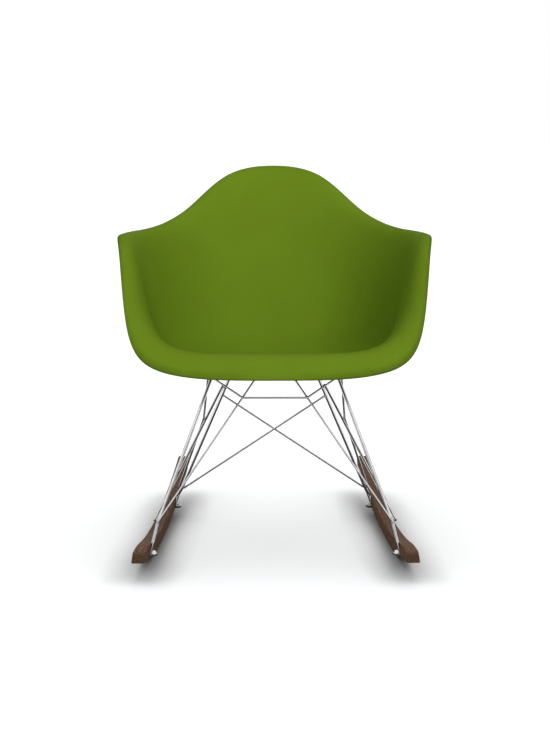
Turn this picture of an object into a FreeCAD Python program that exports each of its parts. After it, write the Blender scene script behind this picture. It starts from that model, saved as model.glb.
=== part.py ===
import FreeCAD, Part
import math
import os

# Moulded plastic rocking chair, in millimetres.
# +Z is up, the seat faces -Y, and the origin is on the floor under the middle of the rockers.
# Paired pieces are drawn for the +X side and mirrored.

V = FreeCAD.Vector

# Shell
WALL = 5.0
RIM_WALL = 6.5
RIM_EASE = 2.0
SMOOTH = 3
SEAT_HEIGHT = 377.0
SEAT_FORWARD = 38.5
SEAT_FALL = 0.145
SEAT_RING_RADII = (45.0, 90.0)

# Each line runs round the right half of the shell, from the middle of the front edge
# past the front corner and the arm to the top of the back, and steers its inner surface.
# Points are measured from the middle of the seat.
FOOT_LINE = [
    (0, -120, 20), (55, -120, 20), (110, -115, 18), (160, -95, 8), (188, -65, -4), (204, -35, -14),
    (206, 0, -20), (194, 45, -24), (158, 95, -28), (108, 125, -30), (55, 138, -30), (0, 142, -30),
]
LOW_WALL_LINE = [
    (0, -160, 32), (75, -160, 32), (136, -152, 32), (196, -132, 30), (228, -105, 48), (246, -70, 68),
    (250, -35, 72), (238, 22, 72), (202, 90, 72), (142, 144, 70), (72, 170, 68), (0, 176, 68),
]
HIGH_WALL_LINE = [
    (0, -202, 45), (90, -202, 45), (158, -194, 46), (219, -172, 60), (250, -140, 108), (265, -114, 200),
    (267, -66, 222), (257, 5, 221), (220, 100, 218), (155, 180, 224), (80, 228, 260), (0, 238, 268),
]
CREST_LINE = [
    (0, -254, 54), (100, -254, 54), (184, -245, 55), (249, -220, 77), (271, -184, 150), (281, -155, 266),
    (284, -92, 279), (270, 10, 286), (236, 103, 285), (170, 200, 312), (99, 274, 395), (0, 296, 409),
]
RIM_LINE = [
    (0, -270, 5), (100, -270, 5), (189, -262, 10), (268, -239, 31), (293, -200, 108), (302, -160, 254),
    (315, -92, 270), (302, 15, 257), (264, 120, 255), (187, 222, 289), (111, 298, 377), (0, 320, 389),
]

# Where the base is screwed on under the seat, measured from its middle
FRONT_MOUNT_ASIDE = 98.0
FRONT_MOUNT_FORWARD = 121.0
REAR_MOUNT_ASIDE = 64.0
REAR_MOUNT_BACK = 87.0
BOSS_RADIUS = 19.0
BOSS_HEIGHT = 8.0
BUFFER_RADIUS = 16.0
BUFFER_HEIGHT = 9.0
PLATE_HALF_WIDTH = 11.0
PLATE_THICKNESS = 3.0
PLATE_REACH = 24.8
SCREW_RADIUS = 3.0
SCREW_DEPTH = 6.0
SCREW_HEAD_RADIUS = 5.5
SCREW_HEAD_HEIGHT = 3.2
HOLE_CLEARANCE = 0.25

# Rockers
ROCKER_LENGTH = 760.0
ROCKER_RADIUS = 1530.0
ROCKER_LOWEST_Y = -29.5
ROCKER_DEPTH = 33.0
ROCKER_THICKNESS = 24.0
ROCKER_HALF_TRACK = 255.0
ROCKER_LEAN = 7.3
ROCKER_TOE_IN = 3.7
NOSE_LENGTH = 95.0
NOSE_FALL_RADIUS = 500.0
NOSE_TIP_RADIUS = 9.0
ROCKER_EDGE_RADIUS = 2.0

# Bolts through the rockers, placed along them from the middle
FRONT_BOLT = -278.5
REAR_BOLT = 152.5
BOLT_RADIUS = 3.0
BOLT_HEAD_RADIUS = 7.0
BOLT_HEAD_HEIGHT = 3.2
WASHER_RADIUS = 6.0
WASHER_THICKNESS = 1.2
NUT_ACROSS_FLATS = 10.0
NUT_HEIGHT = 5.0
NUT_DOME_RADIUS = 4.4

# Legs, whose lower ends are pressed flat against the rockers
LEG_RADIUS = 3.5
LEG_BEND_RADIUS = 40.0
FOOT_THICKNESS = 4.0
FOOT_HALF_WIDTH = 6.5
FOOT_RISE = 9.0
FOOT_TAPER = 14.0

# Knees, where the legs bend, measured inward from the middle of the rocker and along it from the bolt
FRONT_KNEE_INSIDE = 25.8
FRONT_KNEE_FROM_BOLT = 10.0
FRONT_KNEE_Z = 93.0
REAR_KNEE_INSIDE = 54.0
REAR_KNEE_FROM_BOLT = -23.0
REAR_KNEE_Z = 68.0

# Wires. Each one meets the leg or wire it is welded to at a height above the floor (Z)
# or at a drop below the height of the seat's middle.
STRAIGHT_DIAGONAL_RADIUS = 3.0
STRAIGHT_DIAGONAL_TOP_DROP = 72.0
STRAIGHT_DIAGONAL_LOW_Z = 96.0
BENT_DIAGONAL_RADIUS = 2.5
BENT_DIAGONAL_TOP_DROP = 20.0
BENT_DIAGONAL_BEND_DROP = 124.0
BENT_DIAGONAL_LOW_Z = 71.0
THIN_WIRE_RADIUS = 2.0
WIRE_BEND_RADIUS = 12.0
ARCH_LOW_Z = 95.0
ARCH_TOP_ASIDE = 38.0
ARCH_TOP_FORWARD = 136.0
ARCH_TOP_DROP = 15.0
TIE_LEG_DROP = 15.0
TIE_CORNER_DROP = 52.0
CROSS_TOP_DROP = 91.0
CROSS_LOW_Z = 73.0
WIRE_END = 4.0

SEAT_CENTRE = V(0, -SEAT_FORWARD, SEAT_HEIGHT)
SEAT_NORMAL = V(0, SEAT_FALL, 1).normalize()
FRONT_MOUNT = (FRONT_MOUNT_ASIDE, -FRONT_MOUNT_FORWARD)
REAR_MOUNT = (REAR_MOUNT_ASIDE, REAR_MOUNT_BACK)
FRONT_LEG_TOP = (FRONT_MOUNT_ASIDE + PLATE_REACH, -FRONT_MOUNT_FORWARD)
REAR_LEG_TOP = (REAR_MOUNT_ASIDE + PLATE_REACH, REAR_MOUNT_BACK)
FRONT_KNEE = V(ROCKER_HALF_TRACK - FRONT_KNEE_INSIDE, FRONT_BOLT + FRONT_KNEE_FROM_BOLT, FRONT_KNEE_Z)
REAR_KNEE = V(ROCKER_HALF_TRACK - REAR_KNEE_INSIDE, REAR_BOLT + REAR_KNEE_FROM_BOLT, REAR_KNEE_Z)
ARCH_TOP = SEAT_CENTRE + V(ARCH_TOP_ASIDE, -ARCH_TOP_FORWARD, -ARCH_TOP_DROP)

LEAN = FreeCAD.Rotation(V(0, 1, 0), -ROCKER_LEAN)
TOE_IN = FreeCAD.Rotation(V(0, 0, 1), ROCKER_TOE_IN)
BOARD = FreeCAD.Placement(V(ROCKER_HALF_TRACK, 0, 0), TOE_IN.multiply(LEAN))
BOARD_OUT = BOARD.Rotation.multVec(V(1, 0, 0))

BUFFER_TOP = WALL + BOSS_HEIGHT
PLATE_TOP = BUFFER_TOP + BUFFER_HEIGHT
PLATE_BOTTOM = PLATE_TOP + PLATE_THICKNESS


def mirrored(shape):
    return shape.mirror(V(0, 0, 0), V(1, 0, 0))


def under_seat(place, drop):
    """The point under a place on the seat's flat middle, at a drop square to it."""
    x, y = place
    return SEAT_CENTRE + V(x, y, -SEAT_FALL * y) - SEAT_NORMAL * drop


def disc_under_seat(place, radius, top, bottom):
    return Part.makeCylinder(radius, bottom - top, under_seat(place, bottom), SEAT_NORMAL)


def seat_ring(radius):
    last = len(RIM_LINE) - 1
    ring = []
    for station in range(last + 1):
        turn = math.pi * station / last
        y = -radius * math.cos(turn)
        ring.append((radius * math.sin(turn), y, -SEAT_FALL * y))
    return ring


def all_round(line):
    right = [SEAT_CENTRE + V(*point) for point in line]
    left = [V(-point.x, point.y, point.z) for point in reversed(right[1:-1])]
    return right + left


def outward(lines, level, station):
    """The way from one line to the next, from the seat towards the rim."""
    inner = lines[max(level - 1, 0)]
    outer = lines[min(level + 1, len(lines) - 1)]
    return outer[station] - inner[station]


def outside_lines(lines):
    """The lines of the outer surface, one wall thickness away from those of the inner one."""
    result = []
    for level, line in enumerate(lines):
        flat = level < len(SEAT_RING_RADII)
        thickness = RIM_WALL if level == len(lines) - 1 else WALL
        moved = []
        for station, point in enumerate(line):
            around = line[(station + 1) % len(line)] - line[station - 1]
            normal = -SEAT_NORMAL if flat else around.cross(outward(lines, level, station)).normalize()
            moved.append(point + normal * thickness)
        result.append(moved)
    return result


def ring_surface(lines, degree):
    """A surface that closes smoothly on itself round the shell. Degree 1 is straight from line to line."""
    poles = [[line[station] for line in lines] for station in range(len(lines[0]))]
    stations = len(poles)
    spans = len(lines) - degree
    surface = Part.BSplineSurface()
    surface.buildFromPolesMultsKnots(
        poles,
        [1] * (stations + 1),
        [degree + 1] + [1] * (spans - 1) + [degree + 1],
        list(range(stations + 1)),
        list(range(spans + 1)),
        True,
        False,
        SMOOTH,
        degree,
    )
    return surface


def rim_lines(inner, outer, steps):
    """The lines across the shell's edge, which is flat with its two corners eased."""
    rows = [inner, [], [], outer]
    for inside, outside, step in zip(inner, outer, steps):
        ease = (outside - inside).normalize() * RIM_EASE
        rows[1].append(inside + step * RIM_EASE + ease)
        rows[2].append(outside + step * RIM_EASE - ease)
    return rows


def moulding():
    lines = [all_round(seat_ring(radius)) for radius in SEAT_RING_RADII]
    for line in (FOOT_LINE, LOW_WALL_LINE, HIGH_WALL_LINE, CREST_LINE, RIM_LINE):
        lines.append(all_round(line))
    outside = outside_lines(lines)
    last = len(lines) - 1
    steps = [outward(lines, last, station).normalize() for station in range(len(lines[last]))]
    rim = rim_lines(lines[last], outside[last], steps)
    faces = [ring_surface(pair, 1).toShape() for pair in zip(rim, rim[1:])]
    for rows in (lines, outside):
        surface = ring_surface(rows, SMOOTH)
        faces.append(surface.toShape())
        faces.append(Part.Face(Part.Wire([surface.vIso(0).toShape()])))
    skin = Part.Shell(faces)
    skin.sewShape()
    return Part.Solid(skin)


def shell():
    """The moulding with a screw boss under each corner of the seat."""
    body = moulding()
    for x, y in (FRONT_MOUNT, REAR_MOUNT):
        for side in (1, -1):
            place = (side * x, y)
            post = disc_under_seat(place, BOSS_RADIUS, -BOSS_RADIUS * 2, BUFFER_TOP)
            boss = min(post.cut(body).Solids, key=lambda piece: piece.CenterOfMass.z)
            bottom = BUFFER_TOP - SCREW_DEPTH
            hole = disc_under_seat(place, SCREW_RADIUS + HOLE_CLEARANCE, bottom, BUFFER_TOP)
            body = body.fuse(boss.cut(hole))
    return body.removeSplitter()


def buffer(place):
    hole = disc_under_seat(place, SCREW_RADIUS + HOLE_CLEARANCE, BUFFER_TOP, PLATE_TOP)
    return disc_under_seat(place, BUFFER_RADIUS, BUFFER_TOP, PLATE_TOP).cut(hole)


def mounting_plate(place, leg_top):
    """A flat steel tab from the screw to the top of the leg, with round ends."""
    start = under_seat(place, PLATE_BOTTOM)
    end = under_seat(leg_top, PLATE_BOTTOM)
    along = end - start
    across = SEAT_NORMAL.cross(along).normalize() * PLATE_HALF_WIDTH
    corners = [start + across, end + across, end - across, start - across]
    strip = Part.Face(Part.makePolygon(corners + corners[:1])).extrude(SEAT_NORMAL * PLATE_THICKNESS)
    for centre in (place, leg_top):
        strip = strip.fuse(disc_under_seat(centre, PLATE_HALF_WIDTH, PLATE_TOP, PLATE_BOTTOM))
    hole = disc_under_seat(place, SCREW_RADIUS + HOLE_CLEARANCE, PLATE_TOP, PLATE_BOTTOM)
    return strip.cut(hole).removeSplitter()


def ball(radius, centre, direction):
    """A ball whose seam lies on the far side of the given direction."""
    sphere = Part.makeSphere(radius)
    sphere.Placement = FreeCAD.Placement(centre, FreeCAD.Rotation(V(-1, 0, 0), direction))
    return sphere


def domed_disc(radius, height, foot, direction):
    """A low round head whose edge stands half its height."""
    dome_radius = (radius**2 + (height / 2) ** 2) / height
    post = Part.makeCylinder(radius, height * 2, foot, direction)
    return post.common(ball(dome_radius, foot + direction * (height - dome_radius), direction))


def mounting_screw(place):
    head = domed_disc(SCREW_HEAD_RADIUS, SCREW_HEAD_HEIGHT, under_seat(place, PLATE_BOTTOM), -SEAT_NORMAL)
    shank = disc_under_seat(place, SCREW_RADIUS, BUFFER_TOP - SCREW_DEPTH, PLATE_BOTTOM)
    return head.fuse(shank).removeSplitter()


def bolt_point(along, inward, rise=0):
    """A point on a bolt's middle line, or above it, measured inward from the rocker's outer face."""
    reach = ROCKER_RADIUS - ROCKER_DEPTH / 2
    height = ROCKER_RADIUS - math.sqrt(reach**2 - (along - ROCKER_LOWEST_Y) ** 2)
    return BOARD.multVec(V(-inward, along, height / math.cos(math.radians(ROCKER_LEAN)) + rise))


def arc_point(turn, depth):
    reach = ROCKER_RADIUS - depth
    return V(0, ROCKER_LOWEST_Y + reach * math.sin(turn), ROCKER_RADIUS - reach * math.cos(turn))


def nose_point(neck, turn):
    """A point of the arc by which the rocker's top falls away in front of its neck."""
    centre = arc_point(neck, ROCKER_DEPTH - NOSE_FALL_RADIUS)
    return centre + V(0, -math.sin(neck + turn), math.cos(neck + turn)) * NOSE_FALL_RADIUS


def rocker():
    """A slab cut to an arc, so that both rockers roll on one cylinder across the floor.

    Its top falls away towards the front end, whose upper edge is rounded.
    """
    front = math.asin((-ROCKER_LENGTH / 2 - ROCKER_LOWEST_Y) / ROCKER_RADIUS)
    rear = math.asin((ROCKER_LENGTH / 2 - ROCKER_LOWEST_Y) / ROCKER_RADIUS)
    neck = front + NOSE_LENGTH / ROCKER_RADIUS
    turn = NOSE_LENGTH / NOSE_FALL_RADIUS
    low = Part.Arc(arc_point(front, 0), arc_point(0, 0), arc_point(rear, 0))
    high = Part.Arc(arc_point(neck, ROCKER_DEPTH), arc_point(0, ROCKER_DEPTH), arc_point(rear, ROCKER_DEPTH))
    nose = Part.Arc(nose_point(neck, turn), nose_point(neck, turn / 2), nose_point(neck, 0))
    ends = [Part.LineSegment(low.StartPoint, nose.StartPoint), Part.LineSegment(low.EndPoint, high.EndPoint)]
    outline = Part.Wire(Part.__sortEdges__([edge.toShape() for edge in (low, nose, high, *ends)]))
    arc = Part.Face(outline).extrude(V(ROCKER_HALF_TRACK * 2, 0, 0))
    tip = [edge for edge in arc.Edges if is_at(edge, nose_point(neck, turn))]
    arc = arc.makeFillet(NOSE_TIP_RADIUS, tip)
    slab = Part.makeBox(ROCKER_THICKNESS, ROCKER_LENGTH * 1.2, ROCKER_RADIUS / 2)
    slab.translate(V(-ROCKER_THICKNESS, -ROCKER_LENGTH * 0.6, -ROCKER_DEPTH))
    slab.Placement = BOARD.multiply(slab.Placement)
    board = arc.common(slab)
    long_edges = [edge for edge in board.Edges if edge.Length > NOSE_LENGTH * 0.7]
    board = board.makeFillet(ROCKER_EDGE_RADIUS, long_edges)
    for along in (FRONT_BOLT, REAR_BOLT):
        outer_end = bolt_point(along, 0)
        hole = Part.makeCylinder(BOLT_RADIUS + HOLE_CLEARANCE, ROCKER_THICKNESS, outer_end, -BOARD_OUT)
        board = board.cut(hole)
    return board


def is_at(edge, point):
    """Whether an edge runs across the chair through the given point."""
    ends = [vertex.Point for vertex in edge.Vertexes]
    return all(math.hypot(end.y - point.y, end.z - point.z) < 0.01 for end in ends)


def bolt(along):
    start = bolt_point(along, 0)
    length = ROCKER_THICKNESS + FOOT_THICKNESS + WASHER_THICKNESS + NUT_HEIGHT
    shank = Part.makeCylinder(BOLT_RADIUS, length, start, -BOARD_OUT)
    return domed_disc(BOLT_HEAD_RADIUS, BOLT_HEAD_HEIGHT, start, BOARD_OUT).fuse(shank).removeSplitter()


def washer(along):
    start = bolt_point(along, ROCKER_THICKNESS + FOOT_THICKNESS)
    disc = Part.makeCylinder(WASHER_RADIUS, WASHER_THICKNESS, start, -BOARD_OUT)
    return disc.cut(Part.makeCylinder(BOLT_RADIUS + HOLE_CLEARANCE, WASHER_THICKNESS, start, -BOARD_OUT))


def cap_nut(along):
    """A hexagon nut with a domed, closed end."""
    start = bolt_point(along, ROCKER_THICKNESS + FOOT_THICKNESS + WASHER_THICKNESS)
    corner_radius = NUT_ACROSS_FLATS / math.sqrt(3)
    corners = []
    for k in range(7):
        spoke = BOARD.Rotation.multVec(V(0, corner_radius, 0))
        corners.append(start + FreeCAD.Rotation(BOARD_OUT, 60 * k).multVec(spoke))
    hexagon = Part.Face(Part.makePolygon(corners)).extrude(-BOARD_OUT * NUT_HEIGHT)
    dome = ball(NUT_DOME_RADIUS, start - BOARD_OUT * NUT_HEIGHT, -BOARD_OUT)
    bore = Part.makeCylinder(BOLT_RADIUS + HOLE_CLEARANCE, NUT_HEIGHT, start, -BOARD_OUT)
    return hexagon.fuse(dome).cut(bore).removeSplitter()


def rod(points, radius, bend):
    """A round bar along straight lines between the points, with a bend at each inner point."""
    edges = []
    start = points[0]
    for before, corner, after in zip(points, points[1:], points[2:]):
        back = (before - corner).normalize()
        ahead = (after - corner).normalize()
        half = back.getAngle(ahead) / 2
        reach = bend / math.tan(half)
        middle = (back + ahead).normalize()
        inside = corner + middle * (bend / math.sin(half) - bend)
        edges.append(Part.makeLine(start, corner + back * reach))
        edges.append(Part.Arc(corner + back * reach, inside, corner + ahead * reach).toShape())
        start = corner + ahead * reach
    edges.append(Part.makeLine(start, points[-1]))
    section = Part.Wire([Part.makeCircle(radius, points[0], points[1] - points[0])])
    return Part.Wire(edges).makePipeShell([section], True, False)


def leg(along, knee, top):
    """A bent bar whose foot is pressed into a flat tab with a bolt hole."""
    end = bolt_point(along, ROCKER_THICKNESS + LEG_RADIUS, FOOT_RISE + FOOT_TAPER)
    head = under_seat(top, PLATE_BOTTOM)
    bar = rod([beyond(knee, head, LEG_RADIUS * 3), knee, end], LEG_RADIUS, LEG_BEND_RADIUS)
    bar = bar.cut(disc_under_seat(top, LEG_RADIUS * 8, -LEG_RADIUS, PLATE_BOTTOM))
    up = BOARD.Rotation.multVec(V(0, 0, 1))
    flat = bolt_point(along, ROCKER_THICKNESS + FOOT_THICKNESS / 2, FOOT_RISE)
    round_section = Part.Wire([Part.makeCircle(LEG_RADIUS, end, knee - end)])
    across = BOARD.Rotation.multVec(V(0, FOOT_HALF_WIDTH, 0))
    flat_section = Part.Ellipse(flat + across, flat + BOARD_OUT * (FOOT_THICKNESS / 2), flat)
    taper = Part.makeLoft([round_section, Part.Wire([flat_section.toShape()])], True)
    centre = bolt_point(along, ROCKER_THICKNESS)
    corners = [centre + across, centre + across + up * FOOT_RISE]
    corners += [centre - across + up * FOOT_RISE, centre - across]
    tab = Part.Face(Part.makePolygon(corners + corners[:1])).extrude(-BOARD_OUT * FOOT_THICKNESS)
    tab = tab.fuse(Part.makeCylinder(FOOT_HALF_WIDTH, FOOT_THICKNESS, centre, -BOARD_OUT))
    hole = Part.makeCylinder(BOLT_RADIUS + HOLE_CLEARANCE, FOOT_THICKNESS, centre, -BOARD_OUT)
    return bar.fuse([taper, tab]).cut(hole).removeSplitter()


def at_height(low, high, z):
    return low + (high - low) * ((z - low.z) / (high.z - low.z))


def beside(point, bar_way, side, distance):
    """The point at a distance from a bar's middle line, square to it, towards the given side."""
    way = bar_way.normalize()
    square = side - way * side.dot(way)
    return point + square.normalize() * distance


def beyond(start, end, distance):
    return end + (end - start).normalize() * distance


def front_leg_at(z):
    return at_height(FRONT_KNEE, under_seat(FRONT_LEG_TOP, PLATE_BOTTOM), z)


def rear_leg_at(z):
    return at_height(REAR_KNEE, under_seat(REAR_LEG_TOP, PLATE_BOTTOM), z)


def front_leg_way():
    return under_seat(FRONT_LEG_TOP, PLATE_BOTTOM) - FRONT_KNEE


def rear_leg_way():
    return under_seat(REAR_LEG_TOP, PLATE_BOTTOM) - REAR_KNEE


def straight_diagonal_ends():
    gap = LEG_RADIUS + STRAIGHT_DIAGONAL_RADIUS
    side = V(1, 0, 0)
    top = beside(rear_leg_at(SEAT_HEIGHT - STRAIGHT_DIAGONAL_TOP_DROP), rear_leg_way(), side, gap)
    low = beside(front_leg_at(STRAIGHT_DIAGONAL_LOW_Z), front_leg_way(), side, gap)
    return top, low


def straight_diagonal():
    top, low = straight_diagonal_ends()
    return rod([beyond(low, top, WIRE_END), beyond(top, low, WIRE_END)], STRAIGHT_DIAGONAL_RADIUS, 0)


def bent_diagonal():
    """A bar from the front leg's top to the rear foot, bent where it crosses the straight one."""
    gap = LEG_RADIUS + BENT_DIAGONAL_RADIUS
    side = V(1, 0, 0)
    top = beside(front_leg_at(SEAT_HEIGHT - BENT_DIAGONAL_TOP_DROP), front_leg_way(), side, gap)
    low = beside(rear_leg_at(BENT_DIAGONAL_LOW_Z), rear_leg_way(), side, gap)
    other_top, other_low = straight_diagonal_ends()
    crossing = at_height(other_low, other_top, SEAT_HEIGHT - BENT_DIAGONAL_BEND_DROP)
    apart = STRAIGHT_DIAGONAL_RADIUS + BENT_DIAGONAL_RADIUS
    bend = beside(crossing, other_top - other_low, side, apart)
    points = [beyond(bend, top, WIRE_END), bend, beyond(bend, low, WIRE_END)]
    return rod(points, BENT_DIAGONAL_RADIUS, WIRE_BEND_RADIUS)


def arch_foot():
    gap = LEG_RADIUS + THIN_WIRE_RADIUS
    return beside(front_leg_at(ARCH_LOW_Z), front_leg_way(), V(0, -1, 0), gap)


def arch_wire():
    """A wire up from each front knee, joined by a level length under the seat."""
    foot = arch_foot()
    end = beyond(ARCH_TOP, foot, WIRE_END)
    points = [end, ARCH_TOP, V(-ARCH_TOP.x, ARCH_TOP.y, ARCH_TOP.z), V(-end.x, end.y, end.z)]
    return rod(points, THIN_WIRE_RADIUS, WIRE_BEND_RADIUS)


def tie_wire():
    """A wire between the front legs' tops, welded to the arch at its lower corners."""
    gap = LEG_RADIUS + THIN_WIRE_RADIUS
    top = beside(front_leg_at(SEAT_HEIGHT - TIE_LEG_DROP), front_leg_way(), V(0, -1, 0), gap)
    crossing = at_height(arch_foot(), ARCH_TOP, SEAT_HEIGHT - TIE_CORNER_DROP)
    corner = beside(crossing, ARCH_TOP - arch_foot(), V(0, -1, 0), THIN_WIRE_RADIUS * 2)
    end = beyond(corner, top, WIRE_END)
    points = [end, corner, V(-corner.x, corner.y, corner.z), V(-end.x, end.y, end.z)]
    return rod(points, THIN_WIRE_RADIUS, WIRE_BEND_RADIUS)


def cross_wire(front):
    """A wire from a rear knee on the -X side to the far rear leg; the two touch where they cross."""
    gap = LEG_RADIUS + THIN_WIRE_RADIUS
    side = V(-gap, -THIN_WIRE_RADIUS if front else THIN_WIRE_RADIUS, 0)
    top = beside(rear_leg_at(SEAT_HEIGHT - CROSS_TOP_DROP), rear_leg_way(), side, gap)
    low = beside(rear_leg_at(CROSS_LOW_Z), rear_leg_way(), side, gap)
    low.x = -low.x
    return rod([beyond(low, top, WIRE_END), beyond(top, low, WIRE_END)], THIN_WIRE_RADIUS, 0)


def write(name, *solids):
    shape = solids[0] if len(solids) == 1 else Part.makeCompound(list(solids))
    shape.exportStep("parts/" + name + ".step")


def write_pair(name, solid):
    write(name + "_right", solid)
    write(name + "_left", mirrored(solid))


def both_sides(solids):
    return list(solids) + [mirrored(solid) for solid in solids]


os.makedirs("parts", exist_ok=True)
write("shell", shell())
for end, place, leg_top in (("front", FRONT_MOUNT, FRONT_LEG_TOP), ("rear", REAR_MOUNT, REAR_LEG_TOP)):
    write_pair(end + "_buffer", buffer(place))
    write_pair(end + "_plate", mounting_plate(place, leg_top))
write("mounting_screws", *both_sides([mounting_screw(FRONT_MOUNT), mounting_screw(REAR_MOUNT)]))

write_pair("rocker", rocker())
write("rocker_bolts", *both_sides([bolt(FRONT_BOLT), bolt(REAR_BOLT)]))
write("washers", *both_sides([washer(FRONT_BOLT), washer(REAR_BOLT)]))
write("cap_nuts", *both_sides([cap_nut(FRONT_BOLT), cap_nut(REAR_BOLT)]))

front_leg = leg(FRONT_BOLT, FRONT_KNEE, FRONT_LEG_TOP)
rear_leg = leg(REAR_BOLT, REAR_KNEE, REAR_LEG_TOP)
straight = straight_diagonal().cut(front_leg).cut(rear_leg)
bent = bent_diagonal().cut(front_leg).cut(rear_leg).cut(straight)
write_pair("front_leg", front_leg)
write_pair("rear_leg", rear_leg)
write_pair("straight_diagonal", straight)
write_pair("bent_diagonal", bent)

front_legs = Part.makeCompound([front_leg, mirrored(front_leg)])
rear_legs = Part.makeCompound([rear_leg, mirrored(rear_leg)])
arch = arch_wire().cut(front_legs)
write("front_arch", arch)
write("front_tie", tie_wire().cut(front_legs).cut(arch))
cross = cross_wire(True).cut(rear_legs)
write("rear_cross_a", cross)
write("rear_cross_b", mirrored(cross_wire(False)).cut(rear_legs).cut(cross))
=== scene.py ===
import math

import bmesh
import bpy
from mathutils import Matrix, Vector
from mathutils.bvhtree import BVHTree


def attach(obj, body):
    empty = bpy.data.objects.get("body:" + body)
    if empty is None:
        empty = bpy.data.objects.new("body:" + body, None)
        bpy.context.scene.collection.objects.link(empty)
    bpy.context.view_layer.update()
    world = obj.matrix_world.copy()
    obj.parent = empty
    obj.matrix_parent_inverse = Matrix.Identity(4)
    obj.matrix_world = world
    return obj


# Moulded plastic rocking chair: its finishes, welds, light and camera.
# Lengths are in metres and angles in degrees, except where a name says otherwise.
# The frame has +Z up, the seat faces -Y, and the floor is at z = 0.

CAMERA_PLACE = (-0.029, -3.4587, 0.9073)
CAMERA_DIP = 9.039
CAMERA_TURN = -0.512
PICTURE_HEIGHT_MM = 36.0
LENS_LENGTH_MM = 82.19

# The floor's paint in the open, its painted shade in the corners under the rockers, its painted
# shade under the seat where metal mirrors it, and its paint as a light on the matt parts
FLOOR_SIZE = 60.0
FLOOR_OPEN = (0.855, 0.86, 0.87, 1)
FLOOR_PAINTED_SHADE = (0.0, 0.0, 0.0, 1)
FLOOR_PAINTED_SEAT_SHADE = (0.06, 0.06, 0.06, 1)
FLOOR_UNSEEN = (0.20, 0.20, 0.20, 1)

# The reach of the painted shade in corners, and the openness at which it is full and at which it
# ends
PAINTED_SHADE_REACH = 0.08
PAINTED_SHADE_OPENNESS = (0.2, 1.0)

# How far from the middle of the floor the seat's shade starts to fade, and where it has gone
SEAT_SHADE = (0.35, 0.85)

# The room's plain light, and the four panels and the ceiling that metal mirrors. A panel's edge is
# given by the product of a direction's X and Y, and the ceiling's by the direction's Z.
WHITE = (1, 1, 1, 1)
ROOM_LIGHT = 0.45
PANEL = (1.15, 1.15, 1.15, 1)
BETWEEN_PANELS = (0.12, 0.12, 0.12, 1)
CEILING = (1.1, 1.1, 1.1, 1)
PANEL_EDGE = (0.1, 0.35)
CEILING_EDGE = (0.3, 0.7)

# Each lamp's strength in watts per square metre, and three angles: how far it stands to the right
# of the front, how high it stands above the floor, and how wide it looks
SHELL_LIGHTS = {
    "shell_key": (1.9, 12, 14, 30),
    "shell_top": (0.5, 0, 80, 30),
    "shell_fill_right": (0.62, 90, 14, 50),
    "shell_fill_left": (0.5, -90, 14, 50),
    "shell_fill_back": (1.6, 180, 0, 20),
}
ROCKER_LIGHTS = {
    "rocker_key": (1.1, 0, 60, 60),
    "rocker_fill_right": (2.4, 90, 28, 60),
    "rocker_fill_left": (2.4, -90, 28, 60),
    "rocker_fill_back": (1.0, 180, 25, 60),
}
FLOOR_LIGHT = (2.9, 0, 90, 170)

# The beads of weld, one wherever two bars touch. Bars within TOUCHING of each other touch, and
# beads within SAME_BEAD of each other are one. BEAD_RIPPLE is a share of the radius. The ripples
# are in radians per metre, and their shifts vary them from bead to bead along Y and Z.
BAR_WORDS = {"leg", "diagonal", "arch", "tie", "cross"}
TOUCHING = 0.0005
SAMPLE_SPACING = 0.001
BEADS_APART = 0.012
SAME_BEAD = 0.004
BEAD_RADIUS = 0.0027
BEAD_SUBDIVISIONS = 3
BEAD_RIPPLE = 0.10
RIPPLES_X = 2600
RIPPLES_Z = 2100
RIPPLE_SHIFT_BY_Z = 900
RIPPLE_SHIFT_BY_Y = 700

# Linear colours
GREEN = (0.126, 0.208, 0.0115, 1)
GREEN_DEEP = (0.119, 0.197, 0.0105, 1)
GREEN_RIM_SHADE = (0.055, 0.092, 0.0060, 1)
WOOD_LIGHT = (0.125, 0.074, 0.048, 1)
WOOD_MIDDLE = (0.068, 0.038, 0.024, 1)
WOOD_DARK = (0.028, 0.016, 0.010, 1)
CHROME = (0.86, 0.86, 0.87, 1)
CHROME_DULL = (0.70, 0.70, 0.705, 1)
# Painted shade: the wires and the weld beads have the bars' chrome painted darker, bright and
# smudged
CHROME_SHADED = (0.68, 0.68, 0.69, 1)
CHROME_SHADED_DULL = (0.54, 0.54, 0.545, 1)
PLATE_STEEL = (0.50, 0.50, 0.51, 1)
PLATE_STEEL_DULL = (0.36, 0.36, 0.37, 1)
RUBBER = (0.018, 0.018, 0.018, 1)
RUBBER_DUSTY = (0.045, 0.043, 0.040, 1)

# The roughness of each finish at its smoothest and at its roughest
PLASTIC_ROUGHNESS = (0.62, 0.74)
WOOD_ROUGHNESS = (0.58, 0.74)
BAR_ROUGHNESS = (0.10, 0.22)
WIRE_ROUGHNESS = (0.12, 0.24)
FASTENER_ROUGHNESS = (0.16, 0.30)
STEEL_ROUGHNESS = (0.25, 0.40)
RUBBER_ROUGHNESS = (0.6, 0.8)

# How strongly the two matt finishes mirror light
PLASTIC_GLOSS = 0.02
WOOD_GLOSS = 0.01

# How deep each finish's relief is
PLASTIC_GRAIN = 0.00008
PLASTIC_WAVES = 0.0004
WOOD_PORES = 0.00012
PLATING_GRAIN = 0.00003
RUBBER_GRAIN = 0.00006

# The rim's painted shade starts and is full at these values of Pointiness, and covers this share.
RIM_POINTINESS = (0.51, 0.56)
RIM_SHADE_SHARE = 0.9

# How far the middle of the growth rings lies from the origin, how rings and pores are drawn out
# along the boards, the noise at which a pore starts and is open, and how dark an open pore is
RING_SHIFT = (0.35, 0, 0.22)
RING_STRETCH = (1, 0.05, 1)
PORE_STRETCH = (1, 0.03, 1)
PORES_OPEN = (0.58, 0.68)
PORE_TONE = 0.85

# The values between which most of a noise texture lies, and the same for the smudges on metal
NOISE_RANGE = (0.3, 0.7)
SMUDGE_RANGE = (0.3, 0.75)


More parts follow.
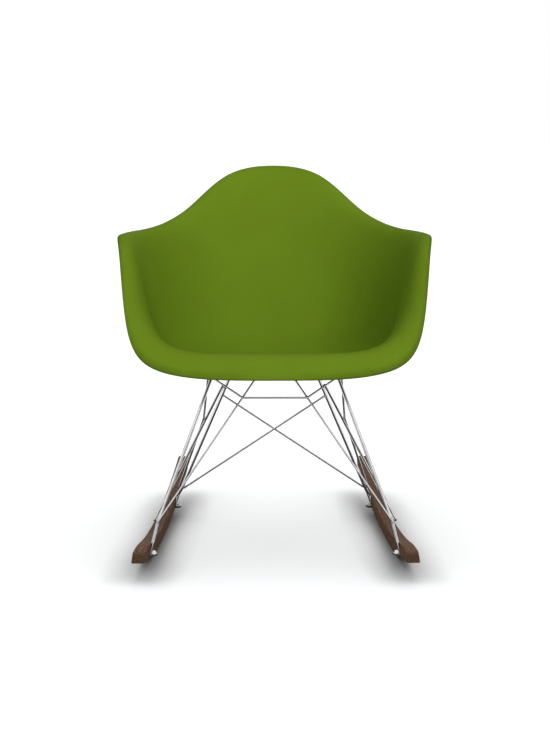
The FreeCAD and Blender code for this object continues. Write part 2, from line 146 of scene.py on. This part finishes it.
def feed(tree, node, inputs):
    """Links each input, given by name or number, to a socket, or else sets it to a value."""
    for key, value in inputs.items():
        if isinstance(value, bpy.types.NodeSocket):
            tree.links.new(value, node.inputs[key])
        else:
            node.inputs[key].default_value = value


def add_node(tree, kind, inputs=None, **settings):
    node = tree.nodes.new(kind)
    for name, value in settings.items():
        setattr(node, name, value)
    feed(tree, node, inputs or {})
    return node


def new_material(name):
    """The material's node tree and shader, and the material itself."""
    material = bpy.data.materials.new(name)
    material.use_nodes = True
    return material.node_tree, material.node_tree.nodes["Principled BSDF"], material


def place_in_frame(tree, stretch=(1, 1, 1), shift=(0, 0, 0)):
    """The point's place in metres. A stretch below 1 draws a texture out along its axis."""
    place = add_node(tree, "ShaderNodeTexCoord").outputs["Object"]
    inputs = {"Vector": place, "Location": shift, "Scale": stretch}
    return add_node(tree, "ShaderNodeMapping", inputs).outputs["Vector"]


def noise(tree, place, per_metre, detail, roughness=0.5):
    inputs = {"Vector": place, "Scale": per_metre, "Detail": detail, "Roughness": roughness}
    return add_node(tree, "ShaderNodeTexNoise", inputs).outputs["Fac"]


def ramp(tree, factor, stops):
    """A colour for each value of factor, from pairs of a value and its colour."""
    node = add_node(tree, "ShaderNodeValToRGB", {"Fac": factor})
    elements = node.color_ramp.elements
    while len(elements) < len(stops):
        elements.new(0.5)
    for element, (position, colour) in zip(elements, stops):
        element.position = position
        element.color = colour
    return node.outputs["Color"]


def rescale(tree, value, old, new):
    """Turns the range old into the range new, and keeps to it beyond its ends."""
    return add_node(tree, "ShaderNodeMapRange", {
        "Value": value,
        "From Min": old[0],
        "From Max": old[1],
        "To Min": new[0],
        "To Max": new[1],
    }).outputs["Result"]


def mix_colours(tree, factor, first, second):
    """The first colour where factor is 0 and the second where it is 1."""
    # The Mix node's sockets share their names between its kinds, so its colours go by number.
    node = add_node(tree, "ShaderNodeMix", {0: factor, 6: first, 7: second}, data_type="RGBA")
    return node.outputs[2]


def bump(tree, height, depth, under=None):
    """A relief of the given depth, laid over the one that under gives, if any."""
    inputs = {"Height": height, "Distance": depth, "Strength": 1.0}
    if under:
        inputs["Normal"] = under
    return add_node(tree, "ShaderNodeBump", inputs).outputs["Normal"]


def moulded_plastic():
    """Matt plastic with a fine grain, faint flow marks, low waves and painted shade along the rim.
    """
    tree, shader, material = new_material("green_plastic")
    place = place_in_frame(tree)
    flow = noise(tree, place, per_metre=9, detail=4)
    colour = ramp(tree, flow, [(0.35, GREEN_DEEP), (0.65, GREEN)])
    edge = add_node(tree, "ShaderNodeNewGeometry").outputs["Pointiness"]
    # Painted shade: the rim's sharply curved edges are painted a deeper green
    painted_rim_shade = rescale(tree, edge, RIM_POINTINESS, (0.0, RIM_SHADE_SHARE))
    rubbed = noise(tree, place, per_metre=35, detail=5)
    grain = bump(tree, noise(tree, place, per_metre=1500, detail=2), PLASTIC_GRAIN)
    waves = noise(tree, place, per_metre=22, detail=2)
    feed(tree, shader, {
        "Base Color": mix_colours(tree, painted_rim_shade, colour, GREEN_RIM_SHADE),
        "Roughness": rescale(tree, rubbed, NOISE_RANGE, PLASTIC_ROUGHNESS),
        "Normal": bump(tree, waves, PLASTIC_WAVES, under=grain),
        "Specular IOR Level": PLASTIC_GLOSS,
    })
    return material


def stained_wood():
    """Dark boards with their grain along Y, growth rings on every face, and open pores."""
    tree, shader, material = new_material("dark_wood")
    rings = add_node(tree, "ShaderNodeTexWave", {
        "Vector": place_in_frame(tree, RING_STRETCH, RING_SHIFT),
        "Scale": 38,
        "Distortion": 5.5,
        "Detail": 3,
        "Detail Scale": 1.6,
    }, wave_type="RINGS", rings_direction="Y").outputs["Fac"]
    colour = ramp(tree, rings, [(0.0, WOOD_MIDDLE), (0.6, WOOD_LIGHT), (1.0, WOOD_MIDDLE)])
    pores = noise(tree, place_in_frame(tree, PORE_STRETCH), per_metre=1100, detail=2)
    open_pores = rescale(tree, pores, PORES_OPEN, (0.0, PORE_TONE))
    feed(tree, shader, {
        "Base Color": mix_colours(tree, open_pores, colour, WOOD_DARK),
        "Roughness": rescale(tree, pores, NOISE_RANGE, WOOD_ROUGHNESS),
        "Normal": bump(tree, open_pores, -WOOD_PORES),
        "Specular IOR Level": WOOD_GLOSS,
    })
    return material


def plated(name, bright, dull, roughness):
    """Plated steel, dulled here and there by faint smudges."""
    tree, shader, material = new_material(name)
    place = place_in_frame(tree)
    smudges = noise(tree, place, per_metre=60, detail=5, roughness=0.6)
    grain = noise(tree, place, per_metre=700, detail=2)
    feed(tree, shader, {
        "Base Color": ramp(tree, smudges, [(0.35, bright), (0.75, dull)]),
        "Roughness": rescale(tree, smudges, SMUDGE_RANGE, roughness),
        "Normal": bump(tree, grain, PLATING_GRAIN),
        "Metallic": 1.0,
    })
    return material


def rubber():
    """Black rubber with a little dust in its grain."""
    tree, shader, material = new_material("black_rubber")
    place = place_in_frame(tree)
    dust = noise(tree, place, per_metre=120, detail=5)
    rubbed = noise(tree, place, per_metre=300, detail=3)
    grain = noise(tree, place, per_metre=2500, detail=2)
    feed(tree, shader, {
        "Base Color": ramp(tree, dust, [(0.4, RUBBER), (0.8, RUBBER_DUSTY)]),
        "Roughness": rescale(tree, rubbed, NOISE_RANGE, RUBBER_ROUGHNESS),
        "Normal": bump(tree, grain, RUBBER_GRAIN),
    })
    return material


def dress(nodes):
    """Gives every CAD node its finish. The last word of its name that is known here decides."""
    bar = plated("chrome_bar", CHROME, CHROME_DULL, BAR_ROUGHNESS)
    # Painted shade: the wires get a darker copy of the bars' chrome
    wire = plated("shaded_chrome_wire", CHROME_SHADED, CHROME_SHADED_DULL, WIRE_ROUGHNESS)
    fastener = plated("bright_fastener", CHROME, PLATE_STEEL, FASTENER_ROUGHNESS)
    finishes = {
        "shell": moulded_plastic(),
        "rocker": stained_wood(),
        "buffer": rubber(),
        "plate": plated("plate_steel", PLATE_STEEL, PLATE_STEEL_DULL, STEEL_ROUGHNESS),
        "screws": fastener,
        "bolts": fastener,
        "washers": fastener,
        "nuts": fastener,
        "leg": bar,
        "diagonal": bar,
    }
    for name, node in nodes.items():
        known = [finishes[word] for word in name.split("_") if word in finishes]
        node.data.materials.clear()
        node.data.materials.append(known[-1] if known else wire)


def points_along(mesh):
    """Points on every edge of the mesh, SAMPLE_SPACING apart or closer."""
    for edge in mesh.edges:
        start, end = (mesh.vertices[index].co for index in edge.vertices)
        steps = max(1, math.ceil((end - start).length / SAMPLE_SPACING))
        for step in range(steps):
            yield start.lerp(end, step / steps)


def far_from(place, others, distance):
    return all(math.dist(place, other) > distance for other in others)


def touching_places(first, second):
    """The middle of each place where two bars touch, the closest contact first."""
    corners = [vertex.co for vertex in second.vertices]
    surface = BVHTree.FromPolygons(corners, [face.vertices for face in second.polygons])
    contacts = []
    for point in points_along(first):
        nearest, _, _, distance = surface.find_nearest(point, TOUCHING)
        if nearest:
            contacts.append((distance, tuple(point.lerp(nearest, 0.5))))
    places = []
    for _, contact in sorted(contacts):
        if far_from(contact, places, BEADS_APART):
            places.append(contact)
    return places


def bead_places(bars):
    """Where the beads go. Where three bars meet, one bead does for all of them."""
    places = []
    for index, first in enumerate(bars):
        for second in bars[index + 1:]:
            for place in touching_places(first.data, second.data):
                if far_from(place, places, SAME_BEAD):
                    places.append(place)
    return places


def add_bead(shape, place):
    """A small ball with ripples in its surface."""
    bead = bmesh.ops.create_icosphere(
        shape,
        subdivisions=BEAD_SUBDIVISIONS,
        radius=BEAD_RADIUS,
        matrix=Matrix.Translation(place),
    )
    for vertex in bead["verts"]:
        outward = vertex.co - Vector(place)
        ripple_x = math.sin(outward.x * RIPPLES_X + place[2] * RIPPLE_SHIFT_BY_Z)
        ripple_z = math.sin(outward.z * RIPPLES_Z + place[1] * RIPPLE_SHIFT_BY_Y)
        vertex.co += outward * BEAD_RIPPLE * (ripple_x * ripple_z)


def weld_beads(bars, finish):
    """One piece of all the beads of weld between the bars."""
    shape = bmesh.new()
    for place in bead_places(bars):
        add_bead(shape, place)
    for face in shape.faces:
        face.smooth = True
    mesh = bpy.data.meshes.new("weld_beads")
    shape.to_mesh(mesh)
    shape.free()
    mesh.materials.append(finish)
    beads = bpy.data.objects.new("weld_beads", mesh)
    bpy.context.collection.objects.link(beads)
    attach(beads, "root")


def floor():
    """A pale matt floor. The camera sees painted shade on it close under the rockers, metal mirrors
    it with the seat's shade painted on it, and as a light on the matt parts it is grey."""
    bpy.ops.mesh.primitive_plane_add(size=FLOOR_SIZE)
    plane = bpy.context.object
    plane.name = "floor"
    tree, shader, material = new_material("floor_paint")
    rays = add_node(tree, "ShaderNodeLightPath").outputs
    # Painted shade: close under the rockers the camera sees the floor darkened by ambient occlusion
    corners = add_node(tree, "ShaderNodeAmbientOcclusion", {"Distance": PAINTED_SHADE_REACH})
    openness = rescale(tree, corners.outputs["AO"], PAINTED_SHADE_OPENNESS, (0, 1))
    seen = mix_colours(tree, openness, FLOOR_PAINTED_SHADE, FLOOR_OPEN)
    # Painted shade of the seat: metal mirrors the floor darker towards its middle
    place = add_node(tree, "ShaderNodeTexCoord").outputs["Object"]
    from_middle = add_node(tree, "ShaderNodeVectorMath", {0: place}, operation="LENGTH")
    beyond_seat = rescale(tree, from_middle.outputs["Value"], SEAT_SHADE, (0, 1))
    mirrored = mix_colours(tree, beyond_seat, FLOOR_PAINTED_SEAT_SHADE, FLOOR_OPEN)
    unseen = mix_colours(tree, rays["Is Glossy Ray"], FLOOR_UNSEEN, mirrored)
    feed(tree, shader, {
        "Base Color": mix_colours(tree, rays["Is Camera Ray"], unseen, seen),
        "Roughness": 1.0,
        "Specular IOR Level": 0.0,
    })
    plane.data.materials.append(material)
    return plane


def mirrored_room(tree):
    """What metal mirrors: tall soft panels in front, behind and at both sides, and a ceiling."""
    direction = add_node(tree, "ShaderNodeTexCoord").outputs["Generated"]
    parts = add_node(tree, "ShaderNodeSeparateXYZ", {"Vector": direction}).outputs
    product = add_node(tree, "ShaderNodeMath", {0: parts["X"], 1: parts["Y"]}, operation="MULTIPLY")
    off_axis = add_node(tree, "ShaderNodeMath", {0: product.outputs[0]}, operation="ABSOLUTE")
    stops = [(PANEL_EDGE[0], PANEL), (PANEL_EDGE[1], BETWEEN_PANELS)]
    panels = ramp(tree, off_axis.outputs[0], stops)
    overhead = rescale(tree, parts["Z"], CEILING_EDGE, (0.0, 1.0))
    return mix_colours(tree, overhead, panels, CEILING)


def background(tree, colour, strength):
    inputs = {"Color": colour, "Strength": strength}
    return add_node(tree, "ShaderNodeBackground", inputs).outputs[0]


def mix_shaders(tree, factor, first, second):
    return add_node(tree, "ShaderNodeMixShader", {0: factor, 1: first, 2: second}).outputs[0]


def studio():
    """A room that is white to the camera and a plain light on everything, with panels for metal."""
    world = bpy.data.worlds.new("studio")
    bpy.context.scene.world = world
    world.use_nodes = True
    tree = world.node_tree
    tree.nodes.clear()
    rays = add_node(tree, "ShaderNodeLightPath").outputs
    light = background(tree, WHITE, ROOM_LIGHT)
    mirrored = background(tree, mirrored_room(tree), 1.0)
    seen = background(tree, WHITE, 1.0)
    unseen = mix_shaders(tree, rays["Is Glossy Ray"], light, mirrored)
    surface = mix_shaders(tree, rays["Is Camera Ray"], unseen, seen)
    add_node(tree, "ShaderNodeOutputWorld", {"Surface": surface})


def soft_light(name, setting, lit):
    """A soft distant light that falls on the given objects alone and leaves no gleam on them."""
    strength, side, height, width = setting
    light = bpy.data.lights.new(name, "SUN")
    light.energy = strength
    light.angle = math.radians(width)
    holder = bpy.data.objects.new(name, light)
    bpy.context.collection.objects.link(holder)
    holder.rotation_euler = (math.radians(90 - height), 0, math.radians(side))
    holder.visible_glossy = False
    receivers = bpy.data.collections.new("lit_by_" + name)
    for piece in lit:
        receivers.objects.link(piece)
    holder.light_linking.receiver_collection = receivers


def camera():
    data = bpy.data.cameras.new("camera")
    data.sensor_fit = "VERTICAL"
    data.sensor_height = PICTURE_HEIGHT_MM
    data.lens = LENS_LENGTH_MM
    data.clip_end = FLOOR_SIZE * 2
    holder = bpy.data.objects.new("camera", data)
    bpy.context.collection.objects.link(holder)
    holder.location = CAMERA_PLACE
    holder.rotation_euler = (math.radians(90 - CAMERA_DIP), 0, math.radians(CAMERA_TURN))
    bpy.context.scene.camera = holder


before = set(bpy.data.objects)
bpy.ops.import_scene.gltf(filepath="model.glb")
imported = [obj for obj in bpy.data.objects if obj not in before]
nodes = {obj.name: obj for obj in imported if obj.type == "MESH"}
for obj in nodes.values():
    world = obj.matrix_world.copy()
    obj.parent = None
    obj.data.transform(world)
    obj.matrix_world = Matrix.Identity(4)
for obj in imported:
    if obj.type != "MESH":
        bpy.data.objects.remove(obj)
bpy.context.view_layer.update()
dress(nodes)
bars = [nodes[name] for name in sorted(nodes) if BAR_WORDS & set(name.split("_"))]
# The beads get the wires' darker, painted-shade chrome as well
weld_beads(bars, plated("weld_metal", CHROME_SHADED, CHROME_SHADED_DULL, STEEL_ROUGHNESS))
studio()
for name, setting in SHELL_LIGHTS.items():
    soft_light(name, setting, [nodes["shell"]])
for name, setting in ROCKER_LIGHTS.items():
    soft_light(name, setting, [nodes["rocker_right"], nodes["rocker_left"]])
soft_light("floor_light", FLOOR_LIGHT, [floor()])
camera()
bpy.context.scene.view_settings.view_transform = "Standard"
